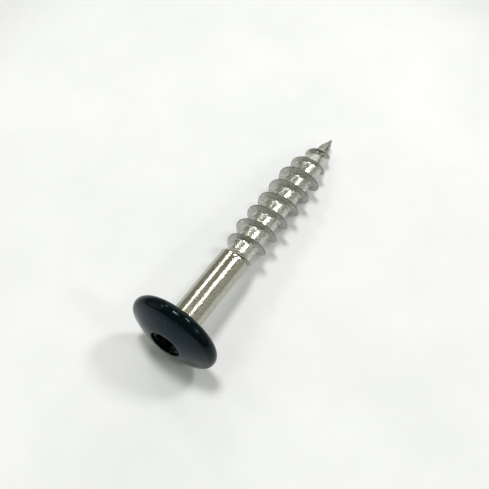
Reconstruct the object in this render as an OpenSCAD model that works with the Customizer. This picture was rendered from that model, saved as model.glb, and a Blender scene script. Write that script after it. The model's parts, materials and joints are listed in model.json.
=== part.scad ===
// Facade screw: a low domed head with a six-lobe drive recess, a plain shank
// and a coarse wood thread that runs out into a gimlet point, all in one piece.
// It lies as it comes to rest, on the rim of its head and one crest of its thread.
// Lengths are in millimetres and angles in degrees.

/* [Head] */
// Width across the head
head_d = 12.3; // [10:0.1:15]
// Height from the flat bearing face to the top of the dome
head_h = 3.12; // [2.7:0.01:4.2]
// Radius of the rounding all round the rim
rim_r = 0.95; // [0.7:0.01:1.2]
// Radius of the fillet between the bearing face and the shank
neck_r = 0.4; // [0.1:0.05:0.8]

/* [Drive recess] */
// Width of the six-lobe recess across its lobes
recess_lobe_d = 3.95; // [3.6:0.05:4.4]
// Width of the recess across the ribs between the lobes
recess_rib_d = 2.85; // [2.6:0.05:3.1]
// Radius of each lobe
lobe_r = 0.31; // [0.25:0.01:0.4]
// Depth of the lobed part below the top of the dome
recess_depth = 2; // [1.2:0.05:2.4]
// Width of the round lead-in where it meets the dome
lead_d = 4.3; // [3.8:0.05:5]
// Depth of the shallow cone at the bottom of the recess
recess_cone = 0.4; // [0.1:0.05:0.6]

/* [Shank] */
// Diameter of the plain shank
shank_d = 4; // [3.6:0.05:4.6]
// Length of the plain shank, from the bearing face to its shoulder
shank_len = 11.5; // [6:0.1:18]
// Slope of the shoulder between the shank and the core of the thread
shoulder_angle = 28; // [20:1:55]

/* [Thread] */
// Outer diameter of the thread
thread_d = 5.45; // [4.8:0.05:6.5]
// Diameter of the core between the turns
core_d = 3.3; // [2.8:0.05:3.6]
// Advance in one turn
pitch = 2.5; // [2:0.05:3.2]
// Width of the narrow land along the crest
crest_w = 0.1; // [0.04:0.01:0.3]
// Slope of each flank, away from square to the axis
flank_angle = 13; // [8:1:20]
// Height of the small fillet at the foot of each flank
foot_h = 0.12; // [0.05:0.01:0.25]
// Length along the screw in which the thread grows to its full height
run_in = 4.9; // [2.5:0.1:8]

/* [Point] */
// Length from the bearing face to the very tip
screw_len = 35; // [30:0.5:45]
// Full angle of the core's cone at the point
point_angle = 32; // [26:1:42]
// Length before the tip in which the thread's crest runs down to it
taper_len = 7.7; // [5:0.1:11]
// How full the crest's curve is along that length, 1 being straight
taper_fullness = 1.1; // [1:0.05:1.8]
// Radius at the tip that the crest runs down toward
taper_r = 0.5; // [0.1:0.05:0.8]
// Length of the bare nose in front of the thread
bare_len = 1.3; // [0.6:0.05:2]
// Length in which the last turn drops from its crest down to the nose
drop_len = 0.6; // [0.2:0.05:1.2]
// Radius of the nose where its rounding ends
nose_r = 0.84; // [0.4:0.02:1.1]
// Length of the nose's rounding back from the tip
nose_len = 2.4; // [1.2:0.1:3]
// Slope of the last turn's flank down to the nose, away from square to the axis
nose_lean = 45; // [20:1:60]

/* [Rest] */
// How far the screw is rolled about its own axis as it lies
roll = -59; // [-180:1:180]

/* [Fineness] */
// Flats to each turn of the thread
steps = 40; // [24:4:56]

/* [Hidden] */
head_r = head_d / 2;
shank_r = shank_d / 2;
thread_r = thread_d / 2;
core_r = core_d / 2;

// Centre of the rim's rounding, out from the axis
rim_c = head_r - rim_r;
// A sphere through the top of the dome that would run smoothly into the rounding
drop = head_h - rim_r;
smooth_r = (rim_c * rim_c + drop * drop - rim_r * rim_r) / (2 * (drop - rim_r));
// The dome meets the rounding at a faint crease, this much past smooth
crease = 2;
turn = atan2(rim_r - head_h + smooth_r, rim_c) + crease;
meet_x = rim_c + rim_r * cos(turn);
meet_h = rim_r + rim_r * sin(turn);
dome_r = (meet_x * meet_x + pow(head_h - meet_h, 2)) / (2 * (head_h - meet_h));

// Depth below the dome's top at which the lead-in has its stated width
lead_r = lead_d / 2;
lead_drop = dome_r - sqrt(dome_r * dome_r - lead_r * lead_r);
rib_r = recess_rib_d / 2;
lobe_c = recess_lobe_d / 2 - lobe_r;
// Radius of the ribs, so that they run smoothly into the lobes
rib_round = (lobe_r * lobe_r - lobe_c * lobe_c - rib_r * rib_r + 2 * lobe_c * rib_r * cos(30))
    / (2 * (rib_r - lobe_c * cos(30) - lobe_r));
// Angle at a lobe's centre between its outward direction and where a rib takes over
rib_c = rib_r + rib_round;
lobe_half = atan2(rib_c * sin(30), rib_c * cos(30) - lobe_c);

// Thread: the crest's height falls to nothing at both of its ends
thread_start = shank_len - 0.1;
core_slope = tan(point_angle / 2);
tip_r = 0.09;
foot_w = foot_h * 0.9;
// The root's far edge, which closes each turn on the tip's side of the crest
back = crest_w / 2 + (thread_r - core_r) * tan(flank_angle) + foot_w + 0.06;
tip_gap = 0.12;
nose_bend = 1.4;
lean_len = 2 * pitch;
first_crest = shank_len - 1.3;
last_crest = screw_len - tip_gap - back;
rows = floor(steps * (last_crest - first_crest) / pitch);

function clamp01(x) = max(0, min(1, x));
function nose_at(z) = nose_r * (1 - pow(1 - clamp01((screw_len - z) / nose_len), nose_bend));
function core_at(z) =
    max(tip_r * 0.5, min(core_r, max(nose_at(z), tip_r + (screw_len - z) * core_slope)));
function grown(z) = 1 - pow(1 - clamp01((z - thread_start) / run_in), 2);
// Radius of the crest where it runs down to the point
function tapered(z) = taper_r
    + (thread_r - taper_r) * (1 - pow(1 - clamp01((screw_len - z) / taper_len), taper_fullness));
function started(z) = clamp01((screw_len - z - bare_len) / drop_len);
// Height of the crest above the core
function crest_h(z) = max(0.003, min(
    (thread_r - core_r) * grown(z),
    (tapered(z) - core_at(z)) * started(z)
));
// How much wider the flank toward the tip gets over the last two turns
function lean_at(z) =
    tan(nose_lean) * clamp01((lean_len - screw_len + z) / (lean_len - nose_len)) * crest_h(z);
function crest_z(i) = first_crest + pitch * i / steps;
function crest_turn(i) = roll + 360 * crest_z(i) / pitch;

function around(r, angle, z) = [r * cos(angle), r * sin(angle), z];

// The six points of one turn's section at step i, from the root up over the crest
function section(i) =
    let (
        z = crest_z(i),
        a = crest_turn(i),
        h = crest_h(z),
        c = max(0.02, crest_w / 2 * min(1, h / 0.4)),
        foot = min(foot_h, 0.3 * h),
        up = c + 0.01 + (h - foot) * tan(flank_angle),
        out = up + foot * (tan(flank_angle) + 0.9) + 0.01,
        seam = z + back + lean_at(z - pitch) - pitch
    ) [
        around(core_at(seam), a, seam),
        around(core_at(z - out), a, z - out),
        around(core_at(z - up) + foot, a, z - up),
        around(core_at(z) + h, a, z - c),
        around(core_at(z) + h, a, z + c),
        around(core_at(z + up + lean_at(z)) + foot, a, z + up + lean_at(z))
    ];

// Point j of the section at step i; the seventh is the first of the next turn
function point_no(i, j) =
    j < 6 ? 6 * i + j
    : i + steps <= rows ? 6 * (i + steps)
    : 6 * (rows + 1) + (i + steps - rows - 1);

thread_points = concat(
    [for (i = [0 : rows]) each section(i)],
    [for (i = [rows - steps + 1 : rows])
        let (end = crest_z(i) + back + lean_at(crest_z(i)))
        around(core_at(end), crest_turn(i), end)],
    [[0, 0, first_crest + back - pitch / 2], [0, 0, screw_len]]
);
start_no = 6 * (rows + 1) + steps;
tip_no = start_no + 1;

thread_faces = concat(
    [for (i = [0 : rows - 1]) for (j = [0 : 5]) each [
        [point_no(i, j), point_no(i, j + 1), point_no(i + 1, j + 1)],
        [point_no(i, j), point_no(i + 1, j + 1), point_no(i + 1, j)]
    ]],
    [for (i = [0 : steps - 1]) [point_no(i, 0), point_no(i + 1, 0), start_no]],
    [for (j = [0 : 5]) [point_no(0, j + 1), point_no(0, j), start_no]],
    [for (i = [rows - steps : rows - 1]) [point_no(i + 1, 6), point_no(i, 6), tip_no]],
    [for (j = [0 : 5]) [point_no(rows, j), point_no(rows, j + 1), tip_no]]
);

// Rest: the tilt at which one point of the crest comes down level with the rim
function tilt_at(r, angle, z) =
    let (p = rim_c - r * cos(angle), q = z + rim_r)
    acos(-rim_r / sqrt(p * p + q * q)) - atan2(q, p);
rest_tilt = min([for (i = [0 : rows])
    tilt_at(core_at(crest_z(i)) + crest_h(crest_z(i)), crest_turn(i), crest_z(i) + crest_w / 2)]);
rest_lift = rim_c * cos(rest_tilt) - rim_r * sin(rest_tilt) + rim_r;
// The ends of the screw along the surface that it lies on
rest_left = -lead_r * sin(rest_tilt) - (head_h - lead_drop) * cos(rest_tilt);
rest_right = screw_len * cos(rest_tilt);

// Half section of the head, with true arcs for its dome and its rim
module head_section() {
    translate([rim_c, -rim_r])
        circle(r = rim_r, $fn = 96);
    intersection() {
        translate([0, dome_r - head_h])
            circle(r = dome_r, $fn = 240);
        polygon([
            [0, 0],
            [rim_c, 0],
            [rim_c, -rim_r],
            [rim_c + 3 * rim_r * cos(turn - 6), -rim_r - 3 * rim_r * sin(turn - 6)],
            [0, -head_h - 2]
        ]);
    }
}

// Half section of the fillet, the shank and its shoulder, which goes on inside the core
module shank_section() {
    shoulder_len = (shank_r - core_r + 0.35) / tan(shoulder_angle);
    polygon([
        [0, -0.5],
        [shank_r, -0.5],
        [shank_r, shank_len],
        [core_r - 0.35, shank_len + shoulder_len],
        [0, shank_len + shoulder_len]
    ]);
    difference() {
        translate([shank_r - 0.2, -0.2])
            square([neck_r + 0.2, neck_r + 0.2]);
        translate([shank_r + neck_r, neck_r])
            circle(r = neck_r, $fn = 48);
    }
}

// Points on an arc about a centre, its eight parts counted from 0 to 8
function arc(cx, cy, r, from, to, steps) =
    [for (s = steps) let (t = from + (to - from) * s / 8) [cx + r * cos(t), cy + r * sin(t)]];

// Six lobes and the six ribs between them
module lobed_section() {
    polygon([for (k = [0 : 5]) each concat(
        arc(lobe_c * cos(60 * k), lobe_c * sin(60 * k), lobe_r,
            60 * k - lobe_half, 60 * k + lobe_half, [0 : 8]),
        arc(rib_c * cos(60 * k + 30), rib_c * sin(60 * k + 30), rib_round,
            60 * k + 180 + lobe_half, 60 * k + 240 - lobe_half, [1 : 7])
    )]);
}

// The drive recess: round lead-in, lobed walls and a shallow cone at the bottom
module recess() {
    translate([0, 0, -head_h - 1])
        linear_extrude(height = recess_depth + 1)
            lobed_section();
    translate([0, 0, -head_h + lead_drop - 0.5])
        cylinder(h = lead_r - rib_r + 0.5, r1 = lead_r + 0.5, r2 = rib_r, $fn = 96);
    translate([0, 0, -head_h + recess_depth - 0.01])
        cylinder(h = recess_cone + 0.01, r1 = rib_r - 0.06, r2 = 0, $fn = 96);
}

// Thread and core, from inside the shank to the tip
module thread() {
    polyhedron(points = thread_points, faces = thread_faces, convexity = 12);
}

// The whole screw upright, its bearing face at the origin and its tip up
module screw_upright() {
    difference() {
        rotate_extrude($fn = 120) {
            head_section();
            shank_section();
        }
        recess();
    }
    thread();
}

// The screw as it lies: tipped until rim and crest both touch the surface
module screw() {
    color("#b9b6ab")
        translate([-(rest_left + rest_right) / 2, 0, rest_lift])
            rotate([0, 90 + rest_tilt, 0])
                screw_upright();
}

screw();
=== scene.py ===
# %% [markdown]
# # A facade screw, dressed over its construction model
#
# The screw is one piece of stainless wire. Its low domed head was struck cold with
# a six-lobe recess in it, its coarse thread and its gimlet point were rolled, and
# at the end the head alone was lacquered in a glossy blue-black. It lies on the
# rim of its head and one crest of its thread.
#
# The construction model already has the true sizes and the place, so it is loaded
# first and nothing here moves away from it. What it lacks is the finish: round
# edges, the marks of rolling, the lacquer, the grain of the metal, and light.

# %% Load the construction model as the frame
import json
import math

import bmesh
import bpy
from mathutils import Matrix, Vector, noise


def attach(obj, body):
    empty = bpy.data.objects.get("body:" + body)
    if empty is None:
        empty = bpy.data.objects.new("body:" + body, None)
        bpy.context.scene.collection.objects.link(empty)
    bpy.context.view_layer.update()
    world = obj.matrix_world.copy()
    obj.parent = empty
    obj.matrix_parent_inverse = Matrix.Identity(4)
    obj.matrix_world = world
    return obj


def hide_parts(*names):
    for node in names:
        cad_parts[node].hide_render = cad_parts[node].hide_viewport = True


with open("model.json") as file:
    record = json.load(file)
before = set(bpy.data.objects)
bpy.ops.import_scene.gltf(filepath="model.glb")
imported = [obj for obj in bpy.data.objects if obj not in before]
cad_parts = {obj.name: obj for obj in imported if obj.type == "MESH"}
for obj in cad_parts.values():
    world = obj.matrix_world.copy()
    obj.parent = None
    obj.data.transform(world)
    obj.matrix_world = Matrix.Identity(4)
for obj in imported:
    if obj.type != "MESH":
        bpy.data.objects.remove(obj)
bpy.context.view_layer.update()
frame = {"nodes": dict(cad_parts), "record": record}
mounts = {mount["name"]: mount for mount in frame["record"]["mounts"]}

# %% [markdown]
# ## Working size and place
#
# Blender's merge distances suit things that are some units wide, and a screw in
# metres is far smaller. So the screw is modelled standing on end with one unit to
# the millimetre: its axis is Z, the flat underside of the head is at zero, the
# dome looks down and the point looks up. Scaling, turning and moving it into
# place is the last step, and the numbers for that step come from the frame: the
# mount on the underside of the head says where it is and which way the axis runs.

# %% Sizes that the whole screw shares, in millimetres
MM = 0.001
AROUND = 240

seat = Vector(mounts["bearing_face"]["pos_m"])
axis = Vector(mounts["bearing_face"]["axis"]).normalized()
tip_over = math.atan2(axis.x, axis.z)
print("seat of the head", tuple(seat), "tipped over by", round(math.degrees(tip_over), 2), "degrees")


def only(obj):
    """Selects one object and nothing else."""
    if bpy.context.object and bpy.context.object.mode != "OBJECT":
        bpy.ops.object.mode_set(mode="OBJECT")
    bpy.ops.object.select_all(action="DESELECT")
    obj.select_set(True)
    bpy.context.view_layer.objects.active = obj


def open_for_edit(obj, kind="EDGE"):
    """Goes into edit mode on one object with everything in it selected."""
    only(obj)
    bpy.ops.object.mode_set(mode="EDIT")
    bpy.ops.mesh.select_mode(type=kind)
    bpy.ops.mesh.select_all(action="SELECT")


# %% [markdown]
# ## The blank: head and shank
#
# On the real screw the head and the shank are round all the way, so a lathe is
# the tool to copy. Spinning a drawn profile would do, but the drive recess needs
# a ring that stops being round. So the blank is drawn out ring by ring: a circle
# is extruded, brought to the next radius and height, and extruded again. All
# rings have the same number of points, and the faces stay clean squares that
# shade well on the glossy dome.

# %% A ring that is drawn out to the next radius and height
def ring_now(obj):
    """Radius and height of the selected round ring."""
    mesh = bmesh.from_edit_mesh(obj.data)
    picked = [v.co for v in mesh.verts if v.select]
    return math.hypot(picked[0].x, picked[0].y), picked[0].z


def ring_to(obj, radius, height):
    """Extrudes the selected ring and brings the new one to a radius and a height."""
    radius_now, height_now = ring_now(obj)
    rise = (0, 0, height - height_now)
    grow = radius / radius_now
    bpy.ops.mesh.extrude_region_move(TRANSFORM_OT_translate={"value": rise})
    bpy.ops.transform.resize(value=(grow, grow, 1), center_override=(0, 0, height))


def arc_to(obj, centre, radius, start, end, count):
    """Draws the ring out along an arc of the half section, given in degrees."""
    for step in range(1, count + 1):
        angle = math.radians(start + (end - start) * step / count)
        ring_to(obj, centre[0] + radius * math.cos(angle), centre[1] + radius * math.sin(angle))


# %% The dome, from the mouth of the recess out to the rim
HEAD_R = 6.15
HEAD_H = 3.12
RIM_R = 0.95
MOUTH_R = 2.17
LIP = 0.42
# Dome and rim meet in a very slight crease, which the gloss shows as a clear line
CREASE = math.radians(2)
DOME_RINGS = 16

rim_centre = (HEAD_R - RIM_R, -RIM_R)
rim_drop = HEAD_H - RIM_R
smooth_dome_r = (rim_centre[0] ** 2 + rim_drop**2 - RIM_R**2) / (2 * (rim_drop - RIM_R))
rim_turn = math.atan2(RIM_R - HEAD_H + smooth_dome_r, rim_centre[0]) + CREASE
meet_r = rim_centre[0] + RIM_R * math.cos(rim_turn)
meet_h = RIM_R + RIM_R * math.sin(rim_turn)
dome_r = (meet_r**2 + (HEAD_H - meet_h) ** 2) / (2 * (HEAD_H - meet_h))
dome_centre = (0, dome_r - HEAD_H)
mouth_z = dome_centre[1] - math.sqrt(dome_r**2 - MOUTH_R**2)
lip_r = MOUTH_R + LIP
lip_z = dome_centre[1] - math.sqrt(dome_r**2 - lip_r**2)
print("dome radius", round(dome_r, 3), "mouth at", round(mouth_z, 3))
print("the rim begins at radius", round(meet_r, 3))

only(frame["nodes"]["screw"])
bpy.ops.object.select_all(action="DESELECT")
bpy.ops.mesh.primitive_circle_add(vertices=AROUND, radius=lip_r, location=(0, 0, lip_z))
screw = bpy.context.object
screw.name = "facade_screw"
bpy.ops.object.transform_apply(location=True, rotation=True, scale=True)
open_for_edit(screw)
dome_from = math.degrees(math.atan2(lip_z - dome_centre[1], lip_r))
dome_to = math.degrees(math.atan2(-meet_h - dome_centre[1], meet_r))
arc_to(screw, dome_centre, dome_r, dome_from, dome_to, DOME_RINGS)
print("dome drawn out in", DOME_RINGS, "rings of", AROUND, "points")

# %% Round the rim, in under the head and along the shank
NECK_R = 0.4
SHANK_R = 2.0
SHANK_LEN = 11.5
SQUEEZED_FROM = SHANK_LEN - 0.8
SQUEEZED_STEP = 0.075
RIM_RINGS = 30
UNDER_HEAD_RADII = (4.9, 4.2, 3.5, 2.9, 2.5)
NECK_RINGS = 8
SHANK_RINGS = 11
SQUEEZED_RINGS = 8

arc_to(screw, rim_centre, RIM_R, -math.degrees(rim_turn), 90, RIM_RINGS)
for under_r in UNDER_HEAD_RADII:
    ring_to(screw, under_r, 0)
neck_centre = (SHANK_R + NECK_R, NECK_R)
ring_to(screw, neck_centre[0], 0)
arc_to(screw, neck_centre, NECK_R, -90, -180, NECK_RINGS)
for step in range(1, SHANK_RINGS + 1):
    ring_to(screw, SHANK_R, NECK_R + (SQUEEZED_FROM - NECK_R) * step / SHANK_RINGS)
for step in range(1, SQUEEZED_RINGS + 1):
    ring_to(screw, SHANK_R, SQUEEZED_FROM + SQUEEZED_STEP * step)
print("rings so far:", len(screw.data.vertices) // AROUND, "before the shoulder")

# %% [markdown]
# ## The shoulder
#
# The shank ends in a short shoulder that was squeezed by the rolling dies, so
# its edge is soft and uneven: metal stands up in a few low dabs before it and a
# shallow groove runs behind it. They are made by moving the points of the rings
# with a noise, because no two screws have them alike. The cone goes on inside
# the thread's core, where the two pieces will be made one.

# %% The shoulder, and its end inside the core
CORE_R = 1.65
SHOULDER_LEAN = 28
CORNER_R = 0.35
CORNER_RINGS = 5
INSIDE_CORE = 0.35
CONE_RINGS = 14

corner_drop = CORNER_R * math.tan(math.radians(SHOULDER_LEAN / 2))
arc_to(screw, (SHANK_R - CORNER_R, SHANK_LEN - corner_drop), CORNER_R, 0, SHOULDER_LEAN, CORNER_RINGS)
radius_now, height_now = ring_now(screw)
inner_r = CORE_R - INSIDE_CORE
for step in range(1, CONE_RINGS + 1):
    inward = (radius_now - inner_r) * step / CONE_RINGS
    ring_to(screw, radius_now - inward, height_now + inward / math.tan(math.radians(SHOULDER_LEAN)))
bpy.ops.mesh.edge_face_add()
print("blank reaches up to", round(ring_now(screw)[1], 2))

# %% Squeeze its edge: low dabs of metal, and a shallow groove behind them
BEAD_Z = SHANK_LEN - 0.12
BEAD_HIGH = 0.1
BEAD_WIDTH = 0.16
GROOVE_Z = SHANK_LEN + 0.3
GROOVE_DEEP = 0.07
GROOVE_WIDTH = 0.12
GROOVE_EVEN = 0.5
DABS_PER_MM = 2.1
DABS_PULLED = 0.6
DABS_OFF = Vector((3.1, 0.4, 0.2))


def hump(value, middle, width):
    """A soft hump that is one in its middle and runs out on both sides."""
    return math.exp(-(((value - middle) / width) ** 2))


mesh = bmesh.from_edit_mesh(screw.data)
swells = []
for v in mesh.verts:
    if v.co.z > SQUEEZED_FROM and math.hypot(v.co.x, v.co.y) > inner_r:
        dab = noise.noise(Vector((v.co.x, v.co.y, v.co.z * DABS_PULLED)) * DABS_PER_MM + DABS_OFF)
        swell = BEAD_HIGH * max(0, dab) * hump(v.co.z, BEAD_Z, BEAD_WIDTH)
        swell -= GROOVE_DEEP * (GROOVE_EVEN + dab) * hump(v.co.z, GROOVE_Z, GROOVE_WIDTH)
        v.co.xy *= 1 + swell / math.hypot(v.co.x, v.co.y)
        swells.append(swell)
bmesh.update_edit_mesh(screw.data)
print("squeezed edge goes from", round(min(swells), 3), "to", round(max(swells), 3), "millimetres")

# %% [markdown]
# ## The drive recess
#
# The punch that makes a six-lobe recess pulls the dome in a little round its
# mouth, as a soft lip. Then come a short steep wall, a 45 degree lead-in, six
# upright lobes with rounded ribs between them, and a shallow cone at the bottom.
# A Boolean cut would leave long thin faces on the dome, where every flaw of
# shading shows in the gloss. Here the open mouth ring is drawn inwards instead,
# and only on the lead-in do its points take the lobed outline.

# %% The lobed outline as a radius for each direction
LOBE_D = 3.95
RIB_D = 2.85
LOBE_R = 0.31
RECESS_DEPTH = 2.0
RECESS_CONE = 0.4
SIXTH = math.radians(60)
HALF_SIXTH = math.radians(30)

lobe_c = LOBE_D / 2 - LOBE_R
rib_r = RIB_D / 2
rib_round = (LOBE_R**2 - lobe_c**2 - rib_r**2 + 2 * lobe_c * rib_r * math.cos(HALF_SIXTH)) / (
    2 * (rib_r - lobe_c * math.cos(HALF_SIXTH) - LOBE_R)
)
rib_c = rib_r + rib_round
lobe_half = math.atan2(rib_c * math.sin(HALF_SIXTH), rib_c * math.cos(HALF_SIXTH) - lobe_c)
touch = Vector((lobe_c + LOBE_R * math.cos(lobe_half), LOBE_R * math.sin(lobe_half)))
lobe_reach = math.atan2(touch.y, touch.x)
print("rib radius", round(rib_round, 3))
print("each lobe reaches", round(math.degrees(lobe_reach), 2), "degrees to both sides")


def lobed(angle):
    """Radius of the six-lobe outline in one direction."""
    off = abs((angle + HALF_SIXTH) % SIXTH - HALF_SIXTH)
    if off < lobe_reach:
        return lobe_c * math.cos(off) + math.sqrt(LOBE_R**2 - (lobe_c * math.sin(off)) ** 2)
    aside = HALF_SIXTH - off
    return rib_c * math.cos(aside) - math.sqrt(rib_round**2 - (rib_c * math.sin(aside)) ** 2)


def shape_ring(obj, radius_at, height_at):
    """Gives each point of the selected ring its own radius and height by its direction."""
    mesh = bmesh.from_edit_mesh(obj.data)
    for v in mesh.verts:
        if v.select:
            angle = math.atan2(v.co.y, v.co.x)
            radius = radius_at(angle)
            v.co = (radius * math.cos(angle), radius * math.sin(angle), height_at(angle))
    bmesh.update_edit_mesh(obj.data)


# %% Draw the mouth ring in: the lip, its edge and the steep wall
LIP_DIP = math.radians(16)
LIP_RINGS = 8
WALL_TURN = math.radians(80)
EDGE_RINGS = 5
EDGE_RUN = 0.022
WALL_DEEP = 0.3


def blend(low, high, part):
    """Goes from low to high as part goes from zero to one."""
    return low + (high - low) * part


bpy.ops.mesh.select_all(action="DESELECT")
bpy.ops.mesh.select_non_manifold()
dome_lean = math.asin(lip_r / dome_r)
lip_at = Vector((lip_r, lip_z))
lip_turns = [LIP_DIP * (step / LIP_RINGS) ** 2 for step in range(1, LIP_RINGS + 1)]
lip_turns += [blend(LIP_DIP, WALL_TURN, step / EDGE_RINGS) for step in range(1, EDGE_RINGS + 1)]
for turn in lip_turns:
    run = LIP / LIP_RINGS if turn <= LIP_DIP else EDGE_RUN
    lip_at += run * Vector((-math.cos(turn - dome_lean), math.sin(turn - dome_lean)))
    bpy.ops.mesh.extrude_region_move()
    shape_ring(screw, lambda angle: lip_at.x, lambda angle: lip_at.y)
wall_top = lip_at.copy()
lead_top = wall_top + WALL_DEEP * Vector((-math.cos(WALL_TURN), math.sin(WALL_TURN)))
print("radius and height below the lip", [round(value, 3) for value in wall_top])
print("radius and height where the lead-in starts", [round(value, 3) for value in lead_top])
for part in (0.15, 0.85, 1):
    wall_at = wall_top.lerp(lead_top, part)
    bpy.ops.mesh.extrude_region_move()
    shape_ring(screw, lambda angle: wall_at.x, lambda angle: wall_at.y)

# %% Lead it in to the lobes, and take them down to the bottom
SOFT = 0.04
SOFT_OUT = 0.3
BOTTOM_IN = 0.06


def lead_in_z(angle):
    """Height at which the 45 degree lead-in comes down to the lobed outline."""
    return lead_top.y + lead_top.x - lobed(angle)


bottom_z = RECESS_DEPTH - HEAD_H
for part in (0.1, 0.5, 0.95):
    bpy.ops.mesh.extrude_region_move()
    shape_ring(
        screw,
        lambda angle: blend(lead_top.x, lobed(angle), part),
        lambda angle: lead_top.y + lead_top.x - blend(lead_top.x, lobed(angle), part),
    )
for sink in (0.35 * SOFT, SOFT):
    bpy.ops.mesh.extrude_region_move()
    shape_ring(
        screw,
        lambda angle: lobed(angle) + SOFT_OUT * (SOFT - sink),
        lambda angle: lead_in_z(angle) + sink,
    )
for part in (0.33, 0.66, 0.97, 1.0):
    bpy.ops.mesh.extrude_region_move()
    shape_ring(screw, lobed, lambda angle: blend(lead_in_z(angle) + SOFT, bottom_z, part))
bottom_r = rib_r - BOTTOM_IN
cone_parts = (0.02, 0.5, 0.9)
for part in cone_parts:
    bpy.ops.mesh.extrude_region_move()
    shape_ring(
        screw,
        lambda angle: blend(lobed(angle), bottom_r * (1 - part), part),
        lambda angle: bottom_z + RECESS_CONE * part,
    )
cone_tip = (0, 0, RECESS_CONE * (1 - cone_parts[-1]))
bpy.ops.mesh.extrude_region_move(TRANSFORM_OT_translate={"value": cone_tip})
bpy.ops.mesh.merge(type="CENTER")
bpy.ops.mesh.select_all(action="SELECT")
bpy.ops.mesh.normals_make_consistent(inside=False)
bpy.ops.object.mode_set(mode="OBJECT")
print("blank with its recess:", len(screw.data.polygons), "faces")

# %% [markdown]
# ## The thread
#
# A coarse thread for wood is a thin fin on a slimmer core. One turn of its half
# section is drawn as a chain of points one pitch long, and the Screw modifier
# winds it up: because the chain starts and ends on the core one pitch apart,
# each turn closes on the next. The winding has full height everywhere, so
# afterwards its points are moved, as the dies do it: the fin grows out of the
# shoulder over two turns, and near the point fin and core both run down.

# %% Draw one turn of the half section
THREAD_R = 2.725
PITCH = 2.5
CREST_HALF = 0.05
FLANK = math.tan(math.radians(13))
FOOT_R = 0.2
SOFT_CREST = 0.025
ROLL = math.radians(-59)
FIRST_TURN = 3

fin_h = THREAD_R - CORE_R
flank_lean = math.atan(FLANK)
arc_h = FOOT_R * (1 - math.sin(flank_lean))
foot_out = CREST_HALF + (fin_h - arc_h) * FLANK + FOOT_R * math.cos(flank_lean)
# Half of the fin from its crest down to the core: distance from its middle, and height
half_fin = [(CREST_HALF - SOFT_CREST, fin_h)]
for part in (0, 0.3, 0.6, 1):
    height = blend(fin_h - SOFT_CREST, arc_h, part)
    half_fin.append((CREST_HALF + (fin_h - height) * FLANK, height))
for part in (0.25, 0.5, 0.75, 1):
    bend = blend(flank_lean, math.pi / 2, part)
    half_fin.append((foot_out - FOOT_R * math.cos(bend), FOOT_R * (1 - math.sin(bend))))
half_root = [(blend(foot_out, PITCH / 2, part), 0) for part in (0.33, 0.66, 1)]
chain = [(-along, high) for along, high in reversed(half_fin + half_root)] + half_fin + half_root
first_crest = (FIRST_TURN - ROLL / math.tau) * PITCH

bpy.ops.object.mode_set(mode="OBJECT")
bpy.ops.object.select_all(action="DESELECT")
bpy.ops.mesh.primitive_plane_add(size=1, location=(CORE_R, 0, first_crest + chain[0][0]))
thread = bpy.context.object
thread.name = "thread"
bpy.ops.object.transform_apply(location=True, rotation=True, scale=True)
open_for_edit(thread, "VERT")
bpy.ops.mesh.merge(type="CENTER")
for before, after in zip(chain, chain[1:]):
    step = (after[1] - before[1], 0, after[0] - before[0])
    bpy.ops.mesh.extrude_region_move(TRANSFORM_OT_translate={"value": step})
bpy.ops.object.mode_set(mode="OBJECT")
print("one turn has", len(thread.data.vertices), "points")
print("the fin is", round(2 * foot_out, 2), "wide at its foot")

# %% Wind it up
SCREW_LEN = 35.0
WIND_STEPS = 120
WELD = 0.002

turns = math.ceil((SCREW_LEN - first_crest) / PITCH) + 1
wind = thread.modifiers.new("wind", "SCREW")
wind.axis = "Z"
wind.angle = math.tau
wind.screw_offset = PITCH
wind.iterations = turns
wind.steps = WIND_STEPS
wind.render_steps = WIND_STEPS
bpy.ops.object.modifier_apply(modifier="wind")
open_for_edit(thread, "VERT")
bpy.ops.mesh.remove_doubles(threshold=WELD)
bpy.ops.object.mode_set(mode="OBJECT")


def crest_near(angle, height):
    """Height of the crest that is nearest to a point, on the same side of the screw."""
    here = (angle - ROLL) * PITCH / math.tau
    return here + round((height - here) / PITCH) * PITCH


crests = [v.co for v in thread.data.vertices if math.hypot(v.co.x, v.co.y) > THREAD_R - WELD]
off = max(abs(abs(co.z - crest_near(math.atan2(co.y, co.x), co.z)) - half_fin[0][0]) for co in crests)
print(turns, "turns,", len(thread.data.vertices), "points; crest off the true helix by", round(off, 4))

# %% Let the fin grow out of the shoulder and run down to the point
RUN_IN = 4.9
TAPER = 7.7
FULLNESS = 1.1
TAPER_R = 0.5
BARE_LEN = 1.3
DROP_LEN = 0.6
TIP_R = 0.09
CORE_SLOPE = math.tan(math.radians(16))
NOSE_R = 0.84
NOSE_LEN = 2.4
NOSE_BEND = 1.4
NOSE_LEAN = math.tan(math.radians(45))
LEAN_LEN = 2 * PITCH
LEAST_FIN = 0.003
SLIM_FOOT = 0.25
UNEVEN = 0.03
UNEVEN_PER_MM = 0.9
UNEVEN_PULLED = 0.8
THREAD_START = SHANK_LEN - 0.1


def within(low, value, high):
    """Holds a value between two others."""
    return max(low, min(high, value))


def core_at(height):
    """Radius of the core: a cylinder, then a cone, then the rounded nose."""
    nose = NOSE_R * (1 - (1 - within(0, (SCREW_LEN - height) / NOSE_LEN, 1)) ** NOSE_BEND)
    return within(TIP_R * 0.5, max(nose, TIP_R + (SCREW_LEN - height) * CORE_SLOPE), CORE_R)


def fin_at(height):
    """Height of the fin above the core."""
    grown = 1 - (1 - within(0, (height - THREAD_START) / RUN_IN, 1)) ** 2
    full = 1 - (1 - within(0, (SCREW_LEN - height) / TAPER, 1)) ** FULLNESS
    reach = TAPER_R + (THREAD_R - TAPER_R) * full
    started = within(0, (SCREW_LEN - height - BARE_LEN) / DROP_LEN, 1)
    return max(LEAST_FIN, min(fin_h * grown, (reach - core_at(height)) * started))


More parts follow.
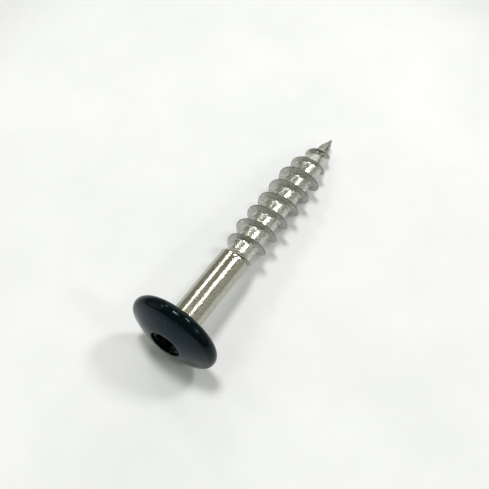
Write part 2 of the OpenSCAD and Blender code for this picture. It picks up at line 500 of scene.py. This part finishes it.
def lean_at(height):
    """How much wider the flank toward the tip gets over the last two turns."""
    near = within(0, (LEAN_LEN - SCREW_LEN + height) / (LEAN_LEN - NOSE_LEN), 1)
    return NOSE_LEAN * near * fin_at(height)


for v in thread.data.vertices:
    angle = math.atan2(v.co.y, v.co.x)
    crest_z = crest_near(angle, v.co.z)
    along = v.co.z - crest_z
    high = (math.hypot(v.co.x, v.co.y) - CORE_R) / fin_h
    fin = fin_at(crest_z)
    slim = blend(SLIM_FOOT, 1, fin / fin_h)
    foot = foot_out * slim + (lean_at(crest_z) if along > 0 else 0)
    if abs(along) <= foot_out:
        along *= foot / foot_out
    else:
        stretch = (PITCH / 2 - foot) / (PITCH / 2 - foot_out)
        along = math.copysign(foot + (abs(along) - foot_out) * stretch, along)
    wave = noise.noise(Vector((v.co.x, v.co.y, v.co.z * UNEVEN_PULLED)) * UNEVEN_PER_MM)
    radius = core_at(crest_z + along) + high * fin * (1 + UNEVEN * wave)
    v.co = (radius * math.cos(angle), radius * math.sin(angle), crest_z + along)
print("fin one turn after its start", round(fin_at(THREAD_START + PITCH), 3), "and full", round(fin_h, 3))

# %% Trim both ends: one hides in the shank, the other is the point
START_CUT = 10.4
TIP_CUT = SCREW_LEN - 0.07
TIP_PINCH = 0.45

open_for_edit(thread, "FACE")
bpy.ops.mesh.bisect(plane_co=(0, 0, START_CUT), plane_no=(0, 0, 1), use_fill=True, clear_inner=True)
bpy.ops.mesh.select_all(action="SELECT")
bpy.ops.mesh.bisect(plane_co=(0, 0, TIP_CUT), plane_no=(0, 0, 1), use_fill=True, clear_outer=True)
bpy.ops.mesh.extrude_region_move(TRANSFORM_OT_translate={"value": (0, 0, SCREW_LEN - TIP_CUT)})
bpy.ops.transform.resize(value=(TIP_PINCH, TIP_PINCH, 1), center_override=(0, 0, SCREW_LEN))
bpy.ops.mesh.select_all(action="SELECT")
bpy.ops.mesh.normals_make_consistent(inside=False)
bpy.ops.object.mode_set(mode="OBJECT")
print("thread trimmed to", len(thread.data.polygons), "faces")

# %% Make shank and thread one piece
JOINT_WELD = 0.0005
FLAT_UP_TO = math.radians(35)

only(screw)
join = screw.modifiers.new("join", "BOOLEAN")
join.operation = "UNION"
join.solver = "EXACT"
join.object = thread
bpy.ops.object.modifier_apply(modifier="join")
bpy.data.objects.remove(thread)
open_for_edit(screw, "VERT")
bpy.ops.mesh.remove_doubles(threshold=JOINT_WELD)
bpy.ops.mesh.normals_make_consistent(inside=False)
bpy.ops.mesh.select_all(action="DESELECT")
bpy.ops.mesh.select_non_manifold()
open_edges = sum(v.select for v in bmesh.from_edit_mesh(screw.data).verts)
bpy.ops.object.mode_set(mode="OBJECT")
bpy.ops.object.shade_smooth_by_angle(angle=FLAT_UP_TO)
print("one piece:", len(screw.data.polygons), "faces,", open_edges, "points on open edges")

# %% [markdown]
# ## Painted shade along the crest
#
# A thin line of painted shade runs along the crest of the fin, darker than its
# flanks. It is a matter of colour, not of shape, so each point only carries a
# mark: how far up the fin it lies. The marks are set now, after the joining,
# because a union makes new points and drops their values.

# %% Mark how far up the fin each point lies
LOW_FIN = 0.15
CREST_MARK = 0.96

marks = screw.data.attributes.new("up_the_fin", "FLOAT", "POINT")
for v in screw.data.vertices:
    fin = fin_at(crest_near(math.atan2(v.co.y, v.co.x), v.co.z))
    if v.co.z > SHANK_LEN and fin > LOW_FIN:
        marks.data[v.index].value = (math.hypot(v.co.x, v.co.y) - core_at(v.co.z)) / fin
print("points on the crest:", sum(mark.value > CREST_MARK for mark in marks.data))

# %% [markdown]
# ## Finish 1: rolled stainless steel
#
# Below the head the screw is bare. The drawn shank mirrors its lamps as two long
# streaks with grainy edges, so a clean mirror would be wrong here. The grain is
# made of small bumps that are longer along the wire, of paler and darker specks,
# and of a roughness that goes with them. The dies leave the thread scuffed, a
# little dented and duller, the fin more than the core. The fin is also painted a
# paler colour than the core, as painted light that lifts the shade on its flanks,
# and the colour gets darker towards the point. So these parts have a set of values
# of their own, and a line of painted shade runs along the crest. All patterns are
# laid out in the screw's own millimetres: height along the axis and distance from
# it tell the parts apart.

# %% Nodes by short calls
def new_material(name):
    """A new material, its tree and its shader."""
    material = bpy.data.materials.new(name)
    material.use_nodes = True
    return material, material.node_tree, material.node_tree.nodes["Principled BSDF"]


def add(tree, kind, inputs=None, **settings):
    """Adds a node, sets its properties, and fills its sockets by name or number."""
    node = tree.nodes.new(kind)
    for name, value in settings.items():
        setattr(node, name, value)
    for name, value in (inputs or {}).items():
        if isinstance(value, bpy.types.NodeSocket):
            tree.links.new(value, node.inputs[name])
        else:
            node.inputs[name].default_value = value
    return node


def own_place(tree):
    """The screw's own millimetres: its axis is Z again, its seat zero."""
    place = add(tree, "ShaderNodeTexCoord")
    back = add(tree, "ShaderNodeMapping", {"Vector": place.outputs["Object"]}, vector_type="TEXTURE")
    back.inputs["Location"].default_value = seat
    back.inputs["Rotation"].default_value = (0, tip_over, 0)
    back.inputs["Scale"].default_value = (MM, MM, MM)
    return back.outputs["Vector"]


def grain(tree, vector, stretch, scale, detail=3.0, roughness=0.6):
    """Noise over a place; a factor below one in stretch makes it longer that way."""
    pulled = add(tree, "ShaderNodeMapping", {"Vector": vector, "Scale": stretch})
    made = add(
        tree,
        "ShaderNodeTexNoise",
        {"Vector": pulled.outputs["Vector"], "Scale": scale, "Detail": detail, "Roughness": roughness},
    )
    return made.outputs["Fac"]


def ramp(tree, value, low, high, to_low, to_high):
    """Maps a range of a value onto another, held at both ends."""
    made = add(
        tree,
        "ShaderNodeMapRange",
        {"Value": value, "From Min": low, "From Max": high, "To Min": to_low, "To Max": to_high},
    )
    return made.outputs["Result"]


def spread(tree, noisy, half, to_low=0, to_high=1):
    """Maps the middle of a noise, half to each side of 0.5, onto a whole range."""
    return ramp(tree, noisy, 0.5 - half, 0.5 + half, to_low, to_high)


def mix_colour(tree, factor, first, second):
    """Mixes two colours, or two sockets that give a colour."""
    made = add(tree, "ShaderNodeMix", {"Factor": factor}, data_type="RGBA")
    for socket, value in (("A", first), ("B", second)):
        target = [s for s in made.inputs if s.name == socket and s.type == "RGBA"][0]
        if isinstance(value, bpy.types.NodeSocket):
            tree.links.new(value, target)
        else:
            target.default_value = value
    return [s for s in made.outputs if s.type == "RGBA"][0]


# %% The steel: its parts, by height along the axis and distance from it
ROLLED_FROM = SHANK_LEN - 0.1
ROLLED_TO = SHANK_LEN + 0.6
PINCHED_FROM = SCREW_LEN - 3.6
PINCHED_TO = SCREW_LEN - 1.6
FIN_FROM = CORE_R + 0.05
FIN_TO = CORE_R + 0.4
CORE_DULL = 0.3


def axis_height(tree, place):
    """Height along the screw's axis, from its seat."""
    return add(tree, "ShaderNodeSeparateXYZ", {"Vector": place}).outputs["Z"]


def axis_distance(tree, place):
    """Distance from the screw's axis."""
    flat = add(tree, "ShaderNodeVectorMath", {0: place, 1: (1, 1, 0)}, operation="MULTIPLY")
    long = add(tree, "ShaderNodeVectorMath", {0: flat.outputs["Vector"]}, operation="LENGTH")
    return long.outputs["Value"]


steel, tree, shader = new_material("rolled_stainless")
place = own_place(tree)
height = axis_height(tree, place)
rolled = ramp(tree, height, ROLLED_FROM, ROLLED_TO, 0, 1)
pinched = ramp(tree, height, PINCHED_FROM, PINCHED_TO, 0, 1)
on_fin = ramp(tree, axis_distance(tree, place), FIN_FROM, FIN_TO, CORE_DULL, 1)
dulled = add(tree, "ShaderNodeMath", {0: rolled, 1: on_fin}, operation="MULTIPLY").outputs["Value"]
print("rolled from", ROLLED_FROM, "pinched from", PINCHED_FROM, "millimetres above the seat")

# %% The steel: its colours
# Each pattern: its stretch, its scale, its steps of detail and how much they count
SPECKS = ((1, 1, 0.7), 8.5, 1.0, 0.5)
SCUFFS = ((1, 1, 1), 5.5, 1.0, 0.5)
DRAWN = ((0.325, 0.32, 0.263, 1), (0.52, 0.515, 0.437, 1))
ROLLED = ((0.3, 0.302, 0.255, 1), (0.64, 0.64, 0.59, 1))
# Painted light: the fin's colours are paler than the core's, to lift the shade on its flanks
FIN_PAINTED_PALER = ((0.345, 0.346, 0.31, 1), (0.71, 0.71, 0.665, 1))
# Darker colours towards the point
PINCHED = ((0.18, 0.178, 0.155, 1), (0.35, 0.348, 0.315, 1))
# Painted shade: the dark colour of the line along the crest
PAINTED_CREST_SHADE = (0.1, 0.1, 0.085, 1)
CREST_SHADE_FROM = 0.88
CREST_SHADE_TO = 0.97
CREST_SHADE_STRENGTH = 0.75

speckled = spread(tree, grain(tree, place, *SPECKS), 0.14)
scuffed = spread(tree, grain(tree, place, *SCUFFS), 0.18)
on_shank = mix_colour(tree, speckled, *DRAWN)
on_thread = mix_colour(tree, on_fin, mix_colour(tree, scuffed, *ROLLED), mix_colour(tree, scuffed, *FIN_PAINTED_PALER))
on_point = mix_colour(tree, speckled, *PINCHED)
colour = mix_colour(tree, pinched, mix_colour(tree, rolled, on_shank, on_thread), on_point)
up_the_fin = add(tree, "ShaderNodeAttribute", attribute_name="up_the_fin").outputs["Fac"]
on_crest_shade = ramp(tree, up_the_fin, CREST_SHADE_FROM, CREST_SHADE_TO, 0, CREST_SHADE_STRENGTH)
tree.links.new(mix_colour(tree, on_crest_shade, colour, PAINTED_CREST_SHADE), shader.inputs["Base Color"])
print("steel's colours:", len(tree.nodes), "nodes so far")

# %% The steel: its shine, its bumps and its dents
FINE = ((1, 1, 0.35), 11.0, 2.0, 0.5)
DENTS = ((1, 1, 0.55), 8.5, 1.0, 0.5)
DRAWN_ROUGH = (0.14, 0.2)
ROLLED_ROUGH = (0.29, 0.37)
FIN_METAL = 0.7
BUMP_HIGH = 0.014 * MM
DENT_DEEP = 0.021 * MM

fine = grain(tree, place, *FINE)
drawn_rough = spread(tree, fine, 0.2, *DRAWN_ROUGH)
rolled_rough = spread(tree, fine, 0.2, *ROLLED_ROUGH)
matt = add(tree, "ShaderNodeMix", {"Factor": dulled, "A": drawn_rough, "B": rolled_rough})
tree.links.new(matt.outputs["Result"], shader.inputs["Roughness"])
tree.links.new(ramp(tree, dulled, 0, 1, 1, FIN_METAL), shader.inputs["Metallic"])
bumps = add(tree, "ShaderNodeBump", {"Height": fine, "Strength": 1.0, "Distance": BUMP_HIGH})
dents = grain(tree, place, *DENTS)
dented = add(tree, "ShaderNodeBump", {"Height": dents, "Strength": rolled, "Distance": DENT_DEEP})
tree.links.new(bumps.outputs["Normal"], dented.inputs["Normal"])
tree.links.new(dented.outputs["Normal"], shader.inputs["Normal"])
print("steel:", len(tree.nodes), "nodes")

# %% [markdown]
# ## Finish 2: blue-black lacquer
#
# Only the head is lacquered. What makes the coat look thick and deep is that
# almost all its light is mirrored: the colour under the gloss is nearly black,
# with a breath of blue on the dome. Round the rim the colour is painted darker and
# less blue, as painted shade. The coat's refraction is set lower than that of a
# clear varnish, since the pale paper would turn the dome grey otherwise. A sprayed
# coat is never quite level, so it has a shallow, wide ripple, and a few grains of
# dust stick to it. In the recess the colour is painted near black, as painted shade.

# %% The lacquer: its colours
EVEN = (1, 1, 1)
PEEL = (EVEN, 1.8, 4.0, 0.6)
DUST_GRAINS = (EVEN, 4.0, 0.0, 0.5)
DUST_FROM = 0.82
DUST_TO = 0.85
DUST_SHOWS = 0.9
# Heights over which the painted shade round the rim comes in
RIM_SHADE_FROM = -2.3
RIM_SHADE_TO = -1.7
DOME = ((0.0003, 0.0125, 0.0215, 1), (0.0011, 0.0175, 0.029, 1))
# Painted shade: darker, less blue colours round the rim
RIM_PAINTED_SHADE = ((0.0008, 0.0035, 0.005, 1), (0.0018, 0.005, 0.0065, 1))
DUST = (0.12, 0.14, 0.15, 1)
# Painted shade: near-black colour in the recess, out to just past its mouth
RECESS_PAINTED_SHADE = (0.0004, 0.001, 0.0014, 1)
RECESS_SHADE_TO = MOUTH_R - 0.05
RECESS_SHADE_ENDS = MOUTH_R + 0.1

lacquer, tree, shader = new_material("blue_black_lacquer")
place = own_place(tree)
peel = grain(tree, place, *PEEL)
cloudy = spread(tree, peel, 0.2)
on_rim_shade = ramp(tree, axis_height(tree, place), RIM_SHADE_FROM, RIM_SHADE_TO, 0, 1)
beyond_recess_shade = ramp(tree, axis_distance(tree, place), RECESS_SHADE_TO, RECESS_SHADE_ENDS, 0, 1)
dusty = ramp(tree, grain(tree, place, *DUST_GRAINS), DUST_FROM, DUST_TO, 0, DUST_SHOWS)
coat = mix_colour(tree, on_rim_shade, mix_colour(tree, cloudy, *DOME), mix_colour(tree, cloudy, *RIM_PAINTED_SHADE))
coat = mix_colour(tree, dusty, coat, DUST)
tree.links.new(mix_colour(tree, beyond_recess_shade, RECESS_PAINTED_SHADE, coat), shader.inputs["Base Color"])
print("lacquer's colours:", len(tree.nodes), "nodes so far")

# %% The lacquer: its gloss and its ripple
GLOSS_ROUGH = 0.1
COAT_IOR = 1.235
MIRROR_TINT = (0.62, 0.9, 1, 1)
RIPPLE_HIGH = 0.014 * MM

shader.inputs["Roughness"].default_value = GLOSS_ROUGH
shader.inputs["IOR"].default_value = COAT_IOR
shader.inputs["Specular Tint"].default_value = MIRROR_TINT
ripple = add(tree, "ShaderNodeBump", {"Height": peel, "Strength": 1.0, "Distance": RIPPLE_HIGH})
tree.links.new(ripple.outputs["Normal"], shader.inputs["Normal"])
print("lacquer:", len(tree.nodes), "nodes")

# %% [markdown]
# ## Each face its finish, and the screw in its place
#
# The coat covers the whole head and stops at its flat underside, so a face's
# height alone says which finish it has. Then the screw is scaled to metres,
# tipped over and set on its seat. All this is applied to the mesh, so that the
# object itself stays at zero, unturned.

# %% Give each face its finish
UNDERSIDE = 0.0005

screw.data.materials.append(steel)
screw.data.materials.append(lacquer)
for face in screw.data.polygons:
    face.material_index = 1 if face.center.z < UNDERSIDE else 0
print("lacquered faces:", sum(face.material_index for face in screw.data.polygons))

# %% Put it in its place
screw.scale = (MM, MM, MM)
screw.rotation_euler = (0, tip_over, 0)
screw.location = seat
only(screw)
bpy.ops.object.transform_apply(location=True, rotation=True, scale=True)
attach(screw, "root")
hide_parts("screw")
print("lowest point above the paper:", round(min(v.co.z for v in screw.data.vertices), 5))

# %% [markdown]
# ## The sheet of paper
#
# The screw can't stand, so it lies on a plain pale sheet, which is only a stage.
# It takes the shadow and throws light back up into the steel and the gloss. A
# little way off, where the camera doesn't look, its colour is painted dark, as
# painted shade that the dome mirrors in its gloss from the far table there.

# %% Floor
NEAR_PAPER = ((0.79, 0.8, 0.815, 1), (0.865, 0.872, 0.885, 1))
# Painted shade: the paper's colour goes dark far out from the screw
FAR_PAINTED_SHADE = (0.12, 0.12, 0.12, 1)
PAPER_SHADE_FROM = 0.045
PAPER_SHADE_TO = 0.12
TABLE_WIDE = 4
PAPER_TONE = (EVEN, 45.0, 4.0)
PAPER_ROUGH = 0.9
PAPER_GLOSS = 0.1

bpy.ops.mesh.primitive_plane_add(size=TABLE_WIDE, location=(0, 0, 0))
floor = bpy.context.object
floor.name = "paper"
paper, tree, shader = new_material("paper")
place = add(tree, "ShaderNodeTexCoord").outputs["Object"]
colour = mix_colour(tree, spread(tree, grain(tree, place, *PAPER_TONE), 0.2), *NEAR_PAPER)
far = add(tree, "ShaderNodeVectorMath", {0: place}, operation="LENGTH").outputs["Value"]
colour = mix_colour(tree, ramp(tree, far, PAPER_SHADE_FROM, PAPER_SHADE_TO, 0, 1), colour, FAR_PAINTED_SHADE)
tree.links.new(colour, shader.inputs["Base Color"])
shader.inputs["Roughness"].default_value = PAPER_ROUGH
shader.inputs["Specular IOR Level"].default_value = PAPER_GLOSS
floor.data.materials.append(paper)
print("paper:", TABLE_WIDE, "metres wide, dark from", PAPER_SHADE_TO, "metres out")

# %% [markdown]
# ## Light
#
# A round shank is a good map of the room: each streak in it, and each short one
# on the rim of the head, tells the direction of a lamp. Small round lamps stand
# in those directions, a metre away. Wide weak ones stand low down, for the soft
# brightness that the flanks of the thread and the sides of the shank mirror, and
# two more stand at the sides, for both ends of the dark band on the rim. The sky
# is a dim warm grey, the room's walls. Together they bring the paper to about the
# level at which it shows as it is coloured.

# %% Lamps and world
LAMP_FAR = 1.0
SKY = (0.2, 0.2, 0.15, 1)


def lamp(name, towards, width, power, colour=(1, 1, 1)):
    """A round soft lamp, in a direction seen from the screw."""
    direction = Vector(towards).normalized()
    bpy.ops.object.light_add(type="AREA", location=direction * LAMP_FAR)
    made = bpy.context.object
    made.name = name
    made.rotation_euler = direction.to_track_quat("Z", "Y").to_euler()
    made.data.shape = "DISK"
    made.data.size = 2 * LAMP_FAR * math.tan(math.radians(width / 2))
    made.data.energy = power
    made.data.color = colour
    made.visible_camera = False
    return made


lamp("overhead", (0.195, 0.195, 0.961), 12, 4.6)
lamp("behind_right", (0.573, -0.292, 0.766), 10, 2.7)
lamp("behind_left", (0.466, 0.586, 0.663), 7, 0.75, (1, 0.99, 0.92))
lamp("right_spot", (0.13, -0.755, 0.64), 10, 1.0)
lamp("left_spot", (0.0, 0.71, 0.71), 10, 0.6)
lamp("behind_low", (0.97, 0.17, 0.2), 55, 2.9)
lamp("right_fill", (0.43, -0.84, 0.32), 50, 0.75)
lamp("left_fill", (0.42, 0.88, 0.24), 40, 0.2)
lamp("left_wall", (-0.52, 0.8, 0.3), 36, 0.8, (0.68, 0.93, 1))
lamp("left_room", (-0.15, 0.75, 0.64), 50, 0.4, (0.93, 0.96, 1))
lamp("right_room", (-0.05, -0.8, 0.6), 50, 0.15, (0.93, 0.96, 1))

world = bpy.context.scene.world or bpy.data.worlds.new("room")
bpy.context.scene.world = world
world.use_nodes = True
sky = world.node_tree.nodes["Background"]
sky.inputs["Color"].default_value = SKY
sky.inputs["Strength"].default_value = 1.0

# %% [markdown]
# ## Camera
#
# The camera's place, direction and focal length come from measured outlines:
# the head, both edges of the shank, ten crests and the tip. It looks down on the
# lying screw from behind its head.

# %% Camera
CAMERA_AT = (-0.039723, -0.026526, 0.112155)
CAMERA_TURNED = (23.3084, 0, -54.8953)
FOCAL_LENGTH = 67.397
SENSOR = 36
NEAREST = 0.005

bpy.ops.object.camera_add(location=CAMERA_AT)
camera = bpy.context.object
camera.rotation_euler = [math.radians(angle) for angle in CAMERA_TURNED]
camera.data.lens = FOCAL_LENGTH
camera.data.sensor_width = SENSOR
camera.data.clip_start = NEAREST
bpy.context.scene.camera = camera
bpy.context.scene.view_settings.view_transform = "Standard"
print("camera height above the paper:", round(camera.location.z, 4))
